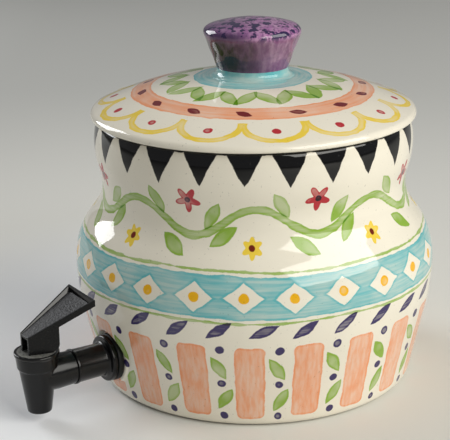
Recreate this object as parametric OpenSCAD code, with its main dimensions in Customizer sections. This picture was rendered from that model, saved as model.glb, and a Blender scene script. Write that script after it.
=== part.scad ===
// Ceramic drink dispenser: a bellied crock with a domed lid and a sprung lever tap.
// Millimetres. Z is up, the crock stands on Z = 0 about the Z axis, the tap points along -Y.

/* [Crock] */
// Widest radius of the belly
belly_r = 127; // [100:0.5:150]
// Height of the widest part of the belly
belly_h = 86; // [70:0.5:110]
// Curve of the wall just below the belly
flank_curve = 165; // [120:1:220]
// Lean of the straight lower wall, in degrees
flank_lean = 12.7; // [4:0.1:18]
// Curve of the shoulder above the belly
shoulder_curve = 50; // [40:0.5:58]
// How far the waist is drawn in from the belly
neck_depth = 20.5; // [14:0.5:26]
// Height of the waist above the belly
waist_rise = 55; // [50:0.5:65]
// How far the mouth swells out from the waist
mouth_flare = 4.5; // [3:0.1:6]
// Height of the mouth's swell above the waist
mouth_rise = 28; // [24:0.5:34]
// Height of the rim above the mouth's swell
rim_rise = 17.5; // [12:0.5:20]
// Thickness of the fired wall
wall = 7; // [5:0.25:9]
// Thickness of the floor
floor_t = 8.5; // [6:0.25:12]
// Rounding of the heel outside
heel_round = 7; // [3:0.5:10]
// Rounding of the corner inside
inside_round = 14; // [6:0.5:20]
// Depth of the crease where that round meets the floor
crease = 0.8; // [0.5:0.1:2]

/* [Lid] */
// How far the lid stands out past the mouth
lid_over = 1.7; // [1:0.1:4]
// Height of the upper edge's centre above the lid's underside
edge_rise = 1.3; // [1:0.05:5]
// Curve of the lid's dome
dome_curve = 280; // [225:1:320]
// Rounding of the lid's upper edge
lid_edge = 4.2; // [3.6:0.1:8]
// Rounding of the lid's lower edge
lid_arris = 1.6; // [1:0.1:2.4]
// Thickness of the dome
lid_t = 7; // [5:0.25:9]
// Depth of the ring that keeps the lid in the mouth
ring_depth = 9; // [5:0.5:14]
// Thickness of that ring
ring_t = 6.5; // [4:0.25:9]
// Play between that ring and the mouth
ring_play = 2.2; // [1:0.1:4]
// Gap left between the lid and the rim
lid_gap = 0.2; // [0.1:0.05:0.5]

/* [Knob] */
// Radius of the knob's foot
knob_foot_r = 23; // [18:0.1:27]
// Widest radius of the knob
knob_r = 33.8; // [28:0.1:40]
// Rounding of the knob's upper edge
knob_round = 4.6; // [3:0.1:6]
// Height of the knob's crown above the dome
knob_h = 37.4; // [28:0.1:44]
// Height of the knob's crown above its widest part
knob_crown = 9; // [6.4:0.1:11]
// Fillet between the knob's side and the dome
knob_fillet = 4.5; // [2:0.1:7]
// Thickness of that fillet's edge on the dome
knob_feather = 0.3; // [0.2:0.05:0.8]
// Glaze joint between knob and lid
knob_joint = 0.05; // [0.02:0.01:0.2]

/* [Tap seat] */
// How far the flat seat is cut into the wall, on the tap's centre line
seat_sink = 1; // [0.5:0.1:3]
// Height of the tap's centre line
tap_z = 32; // [30:0.1:36]
// How far the flat seat shows past the outer washer
seat_show = 1.7; // [0.5:0.1:3]
// Thickness of the crock between its two flats
seat_t = 10; // [8:0.1:12]
// Play of the shank in its hole
hole_play = 0.5; // [0.2:0.05:1]

/* [Shank] */
// Radius of the threaded end
shank_r = 7.8; // [7:0.05:8.5]
// Radius of the water way
way_r = 5.4; // [4.5:0.05:5.8]
// Radius of the flange
flange_r = 15.9; // [15:0.1:17]
// Thickness of the flange
flange_t = 4.2; // [3:0.1:5]
// Rounding of the flange's rim
flange_round = 1.2; // [0.6:0.1:1.4]
// Curve between the flange's face and the sleeve
fillet_r = 2.2; // [1.5:0.1:3]
// Radius of the sleeve at the flange
root_r = 11.2; // [10.8:0.1:12]
// Radius of the sleeve at its mouth
sleeve_r = 11.6; // [11:0.1:12.5]
// Distance of the sleeve's mouth from the seat
sleeve_l = 32; // [29:0.1:35]
// Depth of the socket in the sleeve
socket_d = 13; // [10:0.1:16]
// Radius of the socket
socket_r = 9.2; // [8.8:0.05:9.6]
// Step of the lip round the sleeve's mouth
lip_step = 0.5; // [0.2:0.05:1]
// Width of that lip
lip_w = 1.6; // [1:0.1:3]
// Length of thread left showing past the nut
tail = 3; // [1:0.1:6]

/* [Washers and nut] */
// Thickness of the outer rubber washer
outer_t = 4; // [2.5:0.1:5]
// Radius of the outer rubber washer
outer_r = 16.3; // [15:0.1:17]
// Thickness of the inner rubber washer
inner_t = 2.5; // [1.5:0.1:4]
// Radius of the inner rubber washer
inner_r = 14.5; // [13:0.1:16]
// Thickness of the slip washer
slip_t = 1; // [0.6:0.1:2]
// Radius of the slip washer
slip_r = 13.5; // [12:0.1:15]
// Thickness of the nut's hexagon
nut_t = 7; // [5:0.1:10]
// Radius over the nut's corners
nut_r = 14; // [12:0.1:16]
// Thickness of the nut's collar
nut_collar_t = 1.8; // [1:0.1:3]
// Play of washers and nut on the thread
thread_play = 0.15; // [0.05:0.01:0.3]
// Radius of the O-ring's cord
oring_cord = 0.85; // [0.6:0.01:1.1]

/* [Tap body] */
// Distance of the stem from the seat
stem_reach = 57; // [54:0.1:62]
// Drop of the spout's tip below the tap's centre line
tip_drop = 24.6; // [20:0.1:27]
// Radius of the spout's tip
tip_r = 8.1; // [7.6:0.1:9]
// Radius of the outlet
outlet_r = 5.6; // [4.8:0.05:6]
// Radius of the body below its collar
body_r = 12.4; // [12:0.1:13]
// Height of the collar's lower edge above the tap's centre line
collar_rise = 6.2; // [2:0.1:8]
// Radius of the collar's lower edge
collar_low_r = 13.5; // [13:0.1:14]
// Radius of the collar's upper edge
collar_top_r = 14.3; // [14:0.1:15]
// Radius of the stub that enters the sleeve's mouth
stub_r = 11.3; // [10.5:0.1:11.6]
// Radius of the stub where it leaves the body
stub_root_r = 11.9; // [11:0.1:12.3]
// Drop of the valve seat below the tap's centre line
valve_drop = 8; // [6:0.1:10]
// Radius of the valve chamber
chamber_r = 9.2; // [8.6:0.05:9.6]
// Play of the spigot in its socket
spigot_play = 0.1; // [0.05:0.01:0.2]

/* [Bonnet] */
// Height of the bonnet's top above the tap's centre line
bonnet_rise = 18.3; // [16:0.1:20]
// Radius of the bonnet
bonnet_r = 15.2; // [14.6:0.1:16]
// Thickness of the bonnet's rim
bonnet_t = 2.4; // [2:0.1:3]
// Rounding of the bonnet's edge
bonnet_round = 1; // [0.5:0.05:1.2]
// Depth of the bonnet's threaded plug
plug_d = 5.8; // [4.5:0.1:7]
// Radius of the plug
plug_r = 10.1; // [9.8:0.05:10.6]
// Play of the plug in the collar
plug_play = 0.15; // [0.05:0.01:0.3]
// Radius of the spring's pocket
pocket_r = 6; // [5.4:0.05:7]
// Thickness of the bonnet over that pocket
pocket_roof = 3.4; // [2.5:0.1:4.5]

/* [Valve] */
// Radius of the stem
stem_r = 2.6; // [2.2:0.05:3]
// Play of the stem in the bonnet
stem_play = 0.3; // [0.2:0.01:0.5]
// Radius of the stem's collar
stem_collar_r = 5.2; // [4.8:0.05:5.6]
// Thickness of the stem's collar
stem_collar_t = 1.4; // [1:0.1:2]
// Radius of the seat cup
cup_r = 7.6; // [7.2:0.05:8]
// Height of the seat cup above the valve seat
cup_h = 6.2; // [5:0.1:7]
// Radius of the seat cup's nose
cup_nose_r = 4.6; // [4:0.05:5]
// Gap left between cup and seat
cup_gap = 0.12; // [0.05:0.01:0.3]
// Radius of the knob on the stem's foot
foot_r = 3.6; // [3:0.05:4]
// Mean radius of the spring
spring_r = 4.2; // [4:0.05:4.6]
// Radius of the spring's wire
wire_r = 0.4; // [0.3:0.01:0.5]
// Number of curls in the spring
curls = 6; // [4:1:7]
// Gap left at each end of the spring
spring_gap = 0.15; // [0.1:0.01:0.3]

/* [Lever] */
// Height of the pin above the lever's foot
cam_base = 7; // [6:0.1:8]
// Lift of the stem for each radian of tilt
cam_arm = 5; // [4:0.1:5.5]
// Largest tilt of the lever, in degrees
tilt = 26; // [15:1:30]
// Gap between the lever's foot and the bonnet
foot_gap = 0.25; // [0.15:0.01:0.4]
// Front of the lever, before the stem
lever_front = 8.2; // [7:0.1:9]
// Rear of the lever's pedestal, behind the stem
heel_v = 11.7; // [10:0.1:13]
// Rear of the paddle, behind the stem
paddle_v = 35.5; // [30:0.1:38]
// Height of the lever's front edge above the bonnet
front_h = 12.5; // [11:0.1:15]
// Slope of the paddle, in degrees
paddle_slope = 25.5; // [20:0.1:30]
// Thickness of the paddle
paddle_t = 4.4; // [4:0.1:6]
// Half width of the lever's front
front_w = 6; // [5.6:0.1:7]
// Half width of the paddle's rear
rear_w = 18.5; // [15:0.1:20]
// Thickness of the rim round the sunken paddle
paddle_rim = 1.4; // [1:0.1:2.5]
// Depth of the sunken paddle at its front
sink_front = 0.5; // [0.3:0.05:1]
// Depth of the sunken paddle at its rear
sink_rear = 3; // [2:0.1:3.4]
// Thickness of the lever's cheeks
cheek_t = 1.9; // [1.5:0.1:2.2]
// Thickness of the skin under the sunken paddle
skin_t = 1.6; // [1.2:0.1:2]
// Radius of the lever's pin
pin_r = 1.2; // [1:0.05:1.4]
// Play of the pin in the lever
pin_play = 0.05; // [0.02:0.01:0.1]
// Depth of the pin in each cheek
pin_bite = 1.1; // [0.8:0.1:1.4]

/* [Hidden] */
$fn = 96;
eps = 0.01;

// Crock: centres and curves of the wall, all tangent to one another
waist_r = belly_r - neck_depth;
waist_h = belly_h + waist_rise;
mouth_r = waist_r + mouth_flare;
mouth_h = waist_h + mouth_rise;
rim_h = mouth_h + rim_rise;
shoulder_x = belly_r - shoulder_curve;
flank_x = belly_r - flank_curve;
neck_curve = ((waist_r - shoulder_x) ^ 2 + waist_rise ^ 2 - shoulder_curve ^ 2) / (2 * neck_depth);
neck_sin = waist_rise / (shoulder_curve + neck_curve);
mouth_curve = ((neck_curve - mouth_flare) ^ 2 + mouth_rise ^ 2 - neck_curve ^ 2) / (2 * mouth_flare);
mouth_sin = mouth_rise / (neck_curve + mouth_curve);
mouth_x = mouth_r - mouth_curve;
lip_r = wall / 2;
lip_angle = asin((rim_rise - lip_r) / (mouth_curve - lip_r));
lip_x = mouth_x + (mouth_curve - lip_r) * cos(lip_angle);
lip_z = rim_h - lip_r;
wall_top = lip_z + lip_r * sin(lip_angle) + 1;
throat_in = lip_x - lip_r;
lap = 4;
neck_z = belly_h + shoulder_curve * neck_sin;

// Lid and knob
lid_z = rim_h + lid_gap;
lid_r = mouth_r + lid_over;
edge_x = lid_r - lid_edge;
edge_z = lid_z + edge_rise;
dome_c = edge_z - sqrt((dome_curve - lid_edge) ^ 2 - edge_x ^ 2);
dome_top = dome_c + dome_curve;
arris_z = lid_z + lid_arris;
arris_x = edge_x + sqrt((lid_edge - lid_arris) ^ 2 - (edge_z - arris_z) ^ 2);
ring_r = throat_in - ring_play;
knob_top = dome_top + knob_h;
knob_edge_x = knob_r - knob_round;
knob_edge_z = knob_top - knob_crown;
crown_curve = (knob_edge_x ^ 2 + knob_crown ^ 2 - knob_round ^ 2) / (2 * (knob_crown - knob_round));
knob_lean = atan((knob_edge_x - knob_foot_r) / (knob_edge_z - dome_top))
  + asin(knob_round / norm([knob_edge_x - knob_foot_r, knob_edge_z - dome_top]));
flare_x = knob_foot_r + knob_fillet * cos(knob_lean);
flare_z = dome_curve - knob_fillet * sin(knob_lean);
flare_reach = dome_curve + knob_joint + knob_feather + knob_fillet;
flare_along = flare_x * sin(knob_lean) + flare_z * cos(knob_lean);
flare_step = sqrt(flare_along ^ 2 - flare_x ^ 2 - flare_z ^ 2 + flare_reach ^ 2) - flare_along;
fillet_x = flare_x + flare_step * sin(knob_lean);
fillet_z = dome_c + flare_z + flare_step * cos(knob_lean);
toe_x = fillet_x * (1 - knob_fillet / flare_reach);
toe_z = dome_c + (fillet_z - dome_c) * (1 - knob_fillet / flare_reach);

// Stack along the shank, as distances from the crock's axis
line_h = belly_h - flank_curve * sin(flank_lean);
wall_u = flank_x + flank_curve * cos(flank_lean) - (line_h - tap_z) * tan(flank_lean);
seat_u = wall_u - seat_sink;
seat_r = outer_r + seat_show;
seat_cut = seat_r + 2;
sleeve_u = seat_u + sleeve_l;
stem_u = seat_u + stem_reach;
flange_u = seat_u + outer_t;
inner_u = seat_u - seat_t;
slip_u = inner_u - inner_t;
nut_u = slip_u - slip_t;
tail_u = nut_u - nut_collar_t - nut_t - tail;
face_u = flange_u + flange_t;
socket_u = sleeve_u - socket_d;
hole_r = shank_r + hole_play;
ring_bore = shank_r + thread_play;
spigot_r = socket_r - spigot_play;
spigot_u = socket_u + 1;
oring_u = socket_u + socket_d / 2;
oring_r = spigot_r - oring_cord + spigot_play / 2;

// Valve heights
tip_z = tap_z - tip_drop;
valve_z = tap_z - valve_drop;
collar_z = tap_z + collar_rise;
bonnet_z = tap_z + bonnet_rise;
collar_top = bonnet_z - bonnet_t;
plug_z = collar_top - plug_d;
pocket_z = bonnet_z - pocket_roof;
seat_cone = 1.6;
cup_drop = cup_gap * sqrt(2);
cup_top = valve_z + cup_h;
collar_up = cup_top + stem_collar_t;
spring_low = collar_up + spring_gap + wire_r;
spring_high = pocket_z - spring_gap - wire_r;
inlet_r = way_r + 0.6;

// Lever: its foot is an involute about the pin, so that the lift is cam_arm for each radian
foot_z = bonnet_z + foot_gap;
pin_z = foot_z + cam_base;
cam_end = tilt + 1;
cam_steps = 9;
function cam_length(a) = cam_base + cam_arm * a * PI / 180;
function cam_point(a) = [
  cam_arm * cos(a) + cam_length(a) * sin(a),
  pin_z + cam_arm * sin(a) - cam_length(a) * cos(a)
];
heel_start = cam_point(cam_end);
heel_round_r = (heel_v - heel_start[0]) / (1 - sin(cam_end));
heel_c = heel_start - heel_round_r * [sin(cam_end), -cos(cam_end)];
heel_steps = 8;
front_z = bonnet_z + front_h;
function top_z(v) = front_z + (v + lever_front) * tan(paddle_slope);
function sunk_z(v) = top_z(v) - sink_front
  - (sink_rear - sink_front) * (v + lever_front) / (paddle_v + lever_front);
flare = (rear_w - front_w) / (paddle_v + lever_front);
function half_w(v) = front_w + flare * (v + lever_front);
cheek_w = cheek_t * sqrt(1 + flare ^ 2);
pin_half = half_w(0) - cheek_w + pin_bite;
stem_top = pin_z + 2.7;
lever_low = foot_z - 5;
lever_h = top_z(paddle_v) - lever_low + 5;

echo(lift = cam_arm * tilt * PI / 180);
spring_pitch = (spring_high - spring_low) / curls;
echo(spring_gap_open = spring_pitch - 2 * wire_r);
echo(spring_gap_lifted = spring_pitch - cam_arm * tilt * PI / 180 / curls - 2 * wire_r);
echo(height = knob_top);

// Helpers

module slab(x0, x1, z0, z1) {
  translate([x0, z0]) square([x1 - x0, z1 - z0]);
}

module bulge(x, z, r, z0, z1) {
  if (x > 0) slab(0, x, z0, z1);
  intersection() {
    translate([x, z]) circle(r, $fn = 240);
    slab(max(0, x), x + r + 1, z0, z1);
  }
}

module hollow(x, z, r, z0, z1) {
  difference() {
    slab(0, x, z0, z1);
    translate([x, z]) circle(r, $fn = 240);
  }
}

module turned() {
  rotate_extrude($fn = 180) children();
}

module on_shank() {
  translate([0, 0, tap_z]) rotate([90, 0, 0]) children();
}

module on_stem() {
  translate([0, -stem_u, 0]) children();
}

module sideways() {
  rotate([90, 0, 90]) children();
}

// Crock

// Filled outline of the wall, moved inwards by inset, between two heights
module wall_outline(inset, base_z, corner, top_z) {
  flank_r = flank_curve - inset;
  line_z = belly_h - flank_r * sin(flank_lean);
  line_x = flank_x + flank_r * cos(flank_lean);
  corner_z = base_z + corner;
  corner_x = line_x - corner / cos(flank_lean) - (line_z - corner_z) * tan(flank_lean);
  shoulder_z = belly_h + (shoulder_curve - inset) * neck_sin;
  throat_z = mouth_h - (mouth_curve - inset) * mouth_sin;
  polygon([
    [0, base_z],
    [corner_x, base_z],
    [corner_x + corner * cos(flank_lean), corner_z - corner * sin(flank_lean)],
    [line_x, line_z],
    [0, line_z]
  ]);
  translate([corner_x, corner_z]) circle(corner);
  bulge(flank_x, belly_h, flank_r, line_z - lap, belly_h);
  bulge(shoulder_x, belly_h, shoulder_curve - inset, belly_h - lap, shoulder_z + lap);
  hollow(waist_r + neck_curve, waist_h, neck_curve + inset, shoulder_z, throat_z);
  bulge(mouth_x, mouth_h, mouth_curve - inset, waist_h, top_z);
}

module crock_section() {
  difference() {
    wall_outline(0, 0, heel_round, wall_top);
    difference() {
      wall_outline(wall, floor_t - crease, inside_round, wall_top + 1);
      slab(-1, belly_r, -1, floor_t);
    }
    translate([mouth_x, mouth_h]) rotate(lip_angle) square(2 * mouth_curve);
  }
  translate([lip_x, lip_z]) circle(lip_r);
}

// The fired body is one piece, in three solids that meet at level planes
module crock_zone(z0, z1) {
  turned() intersection() {
    crock_section();
    slab(0, belly_r + 1, z0, z1);
  }
}

module crock_foot() {
  color("ivory") crock_zone(0, floor_t);
}

module crock_belly() {
  color("ivory")
  difference() {
    union() {
      crock_zone(floor_t, neck_z);
      on_shank() translate([0, 0, inner_u]) cylinder(r = seat_r, h = seat_t);
    }
    on_shank() translate([0, 0, seat_u]) cylinder(r = seat_r, h = seat_cut);
    on_shank() translate([0, 0, inner_u - seat_cut]) cylinder(r = seat_r, h = seat_cut);
    on_shank() translate([0, 0, inner_u - 1]) cylinder(r = hole_r, h = seat_t + 2);
  }
}

module crock_neck() {
  color("ivory") crock_zone(neck_z, rim_h + 1);
}

// Lid

module lid_section() {
  difference() {
    union() {
      intersection() {
        translate([0, dome_c]) circle(dome_curve, $fn = 360);
        slab(0, edge_x * dome_curve / (dome_curve - lid_edge), arris_z, dome_top + 1);
      }
      intersection() {
        translate([edge_x, edge_z]) circle(lid_edge);
        slab(edge_x, lid_r + 1, arris_z, edge_z + lid_edge + 1);
      }
      slab(0, arris_x, lid_z, arris_z + eps);
      translate([arris_x, arris_z]) circle(lid_arris);
      slab(ring_r - ring_t, ring_r, lid_z - ring_depth, lid_z + 1);
    }
    intersection() {
      translate([0, dome_c]) circle(dome_curve - lid_t, $fn = 360);
      slab(-1, ring_r - ring_t, lid_z - ring_depth - 1, dome_top);
    }
  }
}

module lid() {
  color("ivory") turned() lid_section();
}

module lid_knob() {
  side_x = knob_edge_x + knob_round * cos(knob_lean);
  side_z = knob_edge_z - knob_round * sin(knob_lean);
  color("mediumpurple")
  turned() difference() {
    union() {
      polygon([
        [0, dome_top - 3],
        [knob_foot_r - 3 * tan(knob_lean), dome_top - 3],
        [side_x, side_z],
        [knob_edge_x, knob_edge_z + knob_round * 0.9],
        [0, knob_edge_z + knob_round * 0.9]
      ]);
      difference() {
        polygon([
          [0, dome_top - 3],
          [toe_x, toe_z - 2],
          [toe_x, toe_z],
          [fillet_x, fillet_z],
          [fillet_x - knob_fillet * cos(knob_lean), fillet_z + knob_fillet * sin(knob_lean)],
          [0, fillet_z + knob_fillet * sin(knob_lean)]
        ]);
        translate([fillet_x, fillet_z]) circle(knob_fillet);
      }
      translate([knob_edge_x, knob_edge_z]) circle(knob_round);
      intersection() {
        translate([0, knob_top - crown_curve]) circle(crown_curve, $fn = 360);
        slab(0, knob_edge_x * crown_curve / (crown_curve - knob_round), knob_edge_z, knob_top + 1);
      }
    }
    translate([0, dome_c]) circle(dome_curve + knob_joint, $fn = 360);
  }
}

// Shank and what holds it

module tap_shank() {
  color([0.1, 0.1, 0.11])
  on_shank() turned() difference() {
    union() {
      slab(0, shank_r, tail_u, flange_u + 1);
      slab(0, flange_r - flange_round, flange_u, face_u);
      slab(0, flange_r, flange_u + flange_round, face_u - flange_round);
      translate([flange_r - flange_round, flange_u + flange_round]) circle(flange_round);
      translate([flange_r - flange_round, face_u - flange_round]) circle(flange_round);
      difference() {
        slab(0, root_r + fillet_r, face_u - eps, face_u + fillet_r);
        translate([root_r + fillet_r, face_u + fillet_r]) circle(fillet_r);
      }
      polygon([
        [0, face_u],
        [root_r, face_u],
        [root_r, face_u + fillet_r],
        [sleeve_r, sleeve_u],
        [0, sleeve_u]
      ]);
      slab(0, sleeve_r + lip_step, sleeve_u - lip_w, sleeve_u);
    }
    slab(-1, way_r, tail_u - 1, sleeve_u + 1);
    slab(-1, socket_r, socket_u, sleeve_u + 1);
  }
}

module washer(r, bore, u, t) {
  on_shank() translate([0, 0, u]) difference() {
    cylinder(r = r, h = t);
    translate([0, 0, -1]) cylinder(r = bore, h = t + 2);
  }
}

module outer_washer() {
  color([0.05, 0.05, 0.05]) washer(outer_r, ring_bore, seat_u, outer_t);
}

module inner_washer() {
  color([0.05, 0.05, 0.05]) washer(inner_r, ring_bore, slip_u, inner_t);
}

module slip_washer() {
  color([0.85, 0.85, 0.82]) washer(slip_r, ring_bore, nut_u, slip_t);
}

module lock_nut() {
  color([0.12, 0.12, 0.13])
  on_shank() translate([0, 0, nut_u - nut_collar_t - nut_t]) difference() {
    union() {
      cylinder(r = nut_r, h = nut_t + eps, $fn = 6);
      translate([0, 0, nut_t]) cylinder(r = nut_r, h = nut_collar_t);
    }
    translate([0, 0, -1]) cylinder(r = ring_bore, h = nut_t + nut_collar_t + 2);
  }
}

module shank_o_ring() {
  color([0.05, 0.05, 0.05])
  on_shank() turned() translate([oring_r, oring_u]) circle(oring_cord);
}

// Tap body and bonnet

module spout_outline() {
  polygon([
    [0, tip_z],
    [tip_r - 0.8, tip_z],
    [tip_r, tip_z + 0.8],
    [body_r, collar_z],
    [collar_low_r, collar_z + 1],
    [collar_top_r, collar_top],
    [0, collar_top]
  ]);
}

module chamber_outline() {
  polygon([
    [0, tip_z - 1],
    [outlet_r, tip_z - 1],
    [outlet_r, valve_z - seat_cone],
    [outlet_r + seat_cone, valve_z],
    [chamber_r, valve_z],
    [chamber_r, plug_z - 1],
    [plug_r + plug_play, plug_z - 1],
    [plug_r + plug_play, collar_top + 1],
    [0, collar_top + 1]
  ]);
}

module stub_outline() {
  groove_r = oring_r - oring_cord;
  groove_w = oring_cord + 0.1;
  polygon([
    [0, spigot_u],
    [spigot_r, spigot_u],
    [spigot_r, oring_u - groove_w],
    [groove_r, oring_u - groove_w],
    [groove_r, oring_u + groove_w],
    [spigot_r, oring_u + groove_w],
    [spigot_r, sleeve_u],
    [stub_r, sleeve_u],
    [stub_root_r, stem_u - body_r],
    [stub_r, stem_u - 1],
    [0, stem_u - 1]
  ]);
}

module tap_body() {
  color([0.1, 0.1, 0.11])
  difference() {
    union() {
      on_stem() turned() spout_outline();
      on_shank() turned() stub_outline();
    }
    on_stem() turned() chamber_outline();
    on_shank() translate([0, 0, spigot_u - 1]) cylinder(r = inlet_r, h = stem_u - 4 - spigot_u);
  }
}

module bonnet() {
  color([0.12, 0.12, 0.13])
  on_stem() turned() difference() {
    union() {
      slab(0, bonnet_r - bonnet_round, collar_top, bonnet_z);
      slab(0, bonnet_r, collar_top, bonnet_z - bonnet_round);
      translate([bonnet_r - bonnet_round, bonnet_z - bonnet_round]) circle(bonnet_round);
      slab(0, plug_r, plug_z, collar_top + eps);
    }
    slab(-1, pocket_r, plug_z - 1, pocket_z);
    slab(-1, stem_r + stem_play, pocket_z - 1, bonnet_z + 1);
  }
}

// Valve

module valve_stem() {
  color([0.8, 0.8, 0.78])
  difference() {
    on_stem() turned() {
      slab(0, stem_r, valve_z + 2, stem_top - 1);
      slab(0, stem_r - 1, valve_z + 2, stem_top);
      intersection() {
        translate([stem_r - 1, stem_top - 1]) circle(1);
        slab(0, stem_r + 1, stem_top - 2, stem_top + 1);
      }
      slab(0, foot_r, valve_z + 2, valve_z + 3.4);
      slab(0, stem_collar_r, cup_top, collar_up);
    }
    translate([-10, -stem_u, pin_z]) rotate([0, 90, 0]) cylinder(r = pin_r + 0.02, h = 20);
  }
}

module seat_cup() {
  nose_z = valve_z - seat_cone + cup_drop + cup_nose_r - outlet_r;
  color([0.82, 0.8, 0.76])
  on_stem() turned() difference() {
    polygon([
      [0, nose_z],
      [cup_nose_r, nose_z],
      [cup_r, nose_z + cup_r - cup_nose_r],
      [cup_r, cup_top - 1],
      [cup_r - 1, cup_top],
      [0, cup_top]
    ]);
    slab(-1, stem_r, valve_z + 2, cup_top + 1);
    slab(-1, foot_r, valve_z + 2, valve_z + 3.4);
  }
}

module stem_spring() {
  rings = 8 * curls;
  sides = 6;
  points = [
    for (i = [0 : rings], j = [0 : sides - 1])
      let (a = 45 * i, b = 360 * j / sides, r = spring_r + wire_r * cos(b))
      [r * cos(a), r * sin(a), spring_low + spring_pitch * i / 8 + wire_r * sin(b)]
  ];
  skin = [
    for (i = [0 : rings - 1], j = [0 : sides - 1])
      let (k = (j + 1) % sides)
      [sides * i + j, sides * (i + 1) + j, sides * (i + 1) + k, sides * i + k]
  ];
  ends = [
    [for (j = [0 : sides - 1]) j],
    [for (j = [sides - 1 : -1 : 0]) sides * rings + j]
  ];
  color([0.75, 0.76, 0.78])
  on_stem() polyhedron(points, concat(skin, ends), convexity = 10);
}

// Lever

module lever_pin() {
  color([0.75, 0.76, 0.78])
  translate([-pin_half, -stem_u, pin_z]) rotate([0, 90, 0]) cylinder(r = pin_r, h = 2 * pin_half);
}

module lever_side() {
  polygon(concat(
    [[-lever_front, foot_z]],
    [for (i = [0 : cam_steps]) cam_point(cam_end * i / cam_steps)],
    [for (i = [1 : heel_steps])
      let (a = cam_end + (90 - cam_end) * i / heel_steps)
      heel_c + heel_round_r * [sin(a), -cos(a)]],
    [
      [heel_v, top_z(heel_v) - paddle_t],
      [paddle_v, top_z(paddle_v) - paddle_t],
      [paddle_v, top_z(paddle_v)],
      [-lever_front, front_z]
    ]
  ));
}

module lever_plan(inset, v0, v1) {
  polygon([
    [-half_w(v0) + inset, v0],
    [half_w(v0) - inset, v0],
    [half_w(v1) - inset, v1],
    [-half_w(v1) + inset, v1]
  ]);
}

module lever() {
  color([0.1, 0.1, 0.11])
  on_stem() difference() {
    intersection() {
      sideways() linear_extrude(height = 3 * rear_w, center = true) lever_side();
      translate([0, 0, lever_low]) linear_extrude(height = lever_h) lever_plan(0, -lever_front, paddle_v);
    }
    intersection() {
      sideways() linear_extrude(height = 3 * rear_w, center = true) polygon([
        [-lever_front - 1, sunk_z(-lever_front - 1)],
        [paddle_v, sunk_z(paddle_v)],
        [paddle_v, top_z(paddle_v) + 20],
        [-lever_front - 1, top_z(paddle_v) + 20]
      ]);
      translate([0, 0, lever_low])
      linear_extrude(height = lever_h) lever_plan(paddle_rim, -lever_front - 1, paddle_v - paddle_rim);
    }
    intersection() {
      sideways() linear_extrude(height = 3 * rear_w, center = true) polygon([
        [-lever_front - 1, foot_z - 2],
        [heel_v, foot_z - 2],
        [heel_v, sunk_z(heel_v) - skin_t],
        [-lever_front - 1, sunk_z(-lever_front - 1) - skin_t]
      ]);
      translate([0, 0, lever_low])
      linear_extrude(height = lever_h) lever_plan(cheek_w, -lever_front - 1, heel_v - cheek_t);
    }
    translate([-pin_half - pin_play, 0, pin_z]) rotate([0, 90, 0])
      cylinder(r = pin_r + pin_play, h = 2 * (pin_half + pin_play));
  }
}

crock_foot();
crock_belly();
crock_neck();
lid();
lid_knob();
tap_body();
tap_shank();
shank_o_ring();
outer_washer();
inner_washer();
slip_washer();
lock_nut();
bonnet();
valve_stem();
seat_cup();
stem_spring();
lever_pin();
lever();
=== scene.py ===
import math
import bmesh
import bpy
from mathutils import Matrix, Vector


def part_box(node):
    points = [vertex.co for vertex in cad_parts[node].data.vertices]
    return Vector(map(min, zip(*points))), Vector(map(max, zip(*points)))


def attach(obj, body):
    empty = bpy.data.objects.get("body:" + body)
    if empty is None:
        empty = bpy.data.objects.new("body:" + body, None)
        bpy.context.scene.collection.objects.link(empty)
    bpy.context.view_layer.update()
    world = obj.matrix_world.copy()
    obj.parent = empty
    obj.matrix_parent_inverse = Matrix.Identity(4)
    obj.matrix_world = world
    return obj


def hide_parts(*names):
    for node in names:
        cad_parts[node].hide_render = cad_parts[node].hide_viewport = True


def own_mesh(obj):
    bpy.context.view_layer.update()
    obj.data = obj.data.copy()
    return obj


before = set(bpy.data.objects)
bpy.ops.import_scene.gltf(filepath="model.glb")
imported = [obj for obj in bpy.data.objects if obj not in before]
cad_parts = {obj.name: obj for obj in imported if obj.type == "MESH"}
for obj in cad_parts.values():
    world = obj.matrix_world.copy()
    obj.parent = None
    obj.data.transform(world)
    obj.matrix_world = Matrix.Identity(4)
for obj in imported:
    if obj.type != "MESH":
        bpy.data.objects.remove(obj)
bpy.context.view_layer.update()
scene = bpy.context.scene
scene.view_settings.view_transform = "Standard"
mm = 0.001
fullTurn = 2 * math.pi


# Node wiring: a Wire is a socket that can be used in sums, one Math node for each

def feed(socket, value):
    if isinstance(value, Wire):
        socket.id_data.links.new(value.socket, socket)
    else:
        socket.default_value = value


def feedAll(sockets, values):
    for socket, value in zip(sockets, values):
        feed(socket, value)


def treeOf(values):
    return next(value.socket.id_data for value in values if isinstance(value, Wire))


def newNode(kind, *values):
    # a node with these values at its first inputs, in the tree that they come from
    node = treeOf(values).nodes.new(kind)
    feedAll(node.inputs, values)
    return node


def mathStep(operation):
    return lambda wire, *others: wire.math(operation, *others)


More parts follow.
